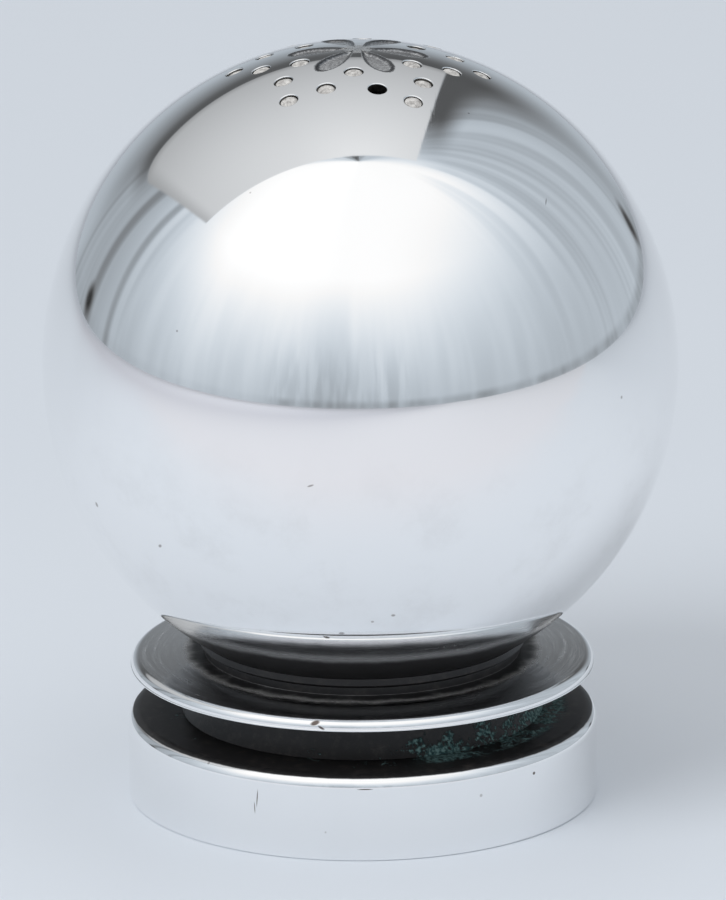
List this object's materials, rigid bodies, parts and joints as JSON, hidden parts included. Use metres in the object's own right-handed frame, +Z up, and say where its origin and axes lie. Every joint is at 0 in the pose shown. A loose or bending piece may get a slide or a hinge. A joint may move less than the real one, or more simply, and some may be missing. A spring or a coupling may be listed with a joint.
{
  "type": "pepper pot",
  "caption": "Ball-shaped metal pepper pot on a stepped round foot, pierced with a petal flower of holes at the top; the ball unscrews from the foot for filling.",
  "frame": {"origin": "centre of the standing ring under the foot, at the height of the table", "axes": "+Z up along the axis of the turned pieces; the pictured front faces -Y"},
  "size_m": [0.05, 0.05, 0.0606],
  "materials": {
    "ball_plate": "polished silver plate, mirror bright with fine wear, petals chased and oxidised",
    "thread_metal": "turned, plating worn thin on the thread",
    "cork": "cut cork, matt",
    "foot_plate": "polished silver plate, tarnished brown-black towards the neck",
    "stem_plate": "silver plate under dark tarnish with verdigris",
    "base_metal": "dull silver plate with scratches"
  },
  "bodies": {
    "foot": {"foot_shell": "foot_plate", "base_plate": "base_metal", "lower_stem": "stem_plate", "flange": "foot_plate", "threaded_spigot": "thread_metal"},
    "seal": {"cork_seal": "cork"},
    "ball": {"ball_upper_shell": "ball_plate", "ball_lower_shell": "ball_plate", "threaded_collar": "thread_metal"}
  },
  "joints": [
    {"name": "ball_lift", "type": "slide", "parent": "foot", "child": "seal", "axis": [0, 0, 1], "range_m": [0, 0.0064]},
    {"name": "ball_turn", "type": "hinge", "parent": "seal", "child": "ball", "pos_m": [0, 0, 0.035], "axis": [0, 0, 1], "range_deg": [0, 1530]}
  ],
  "couplings": [
    {"joint": "ball_lift", "follows": "ball_turn", "m_per_rad": 0.00023873}
  ]
}
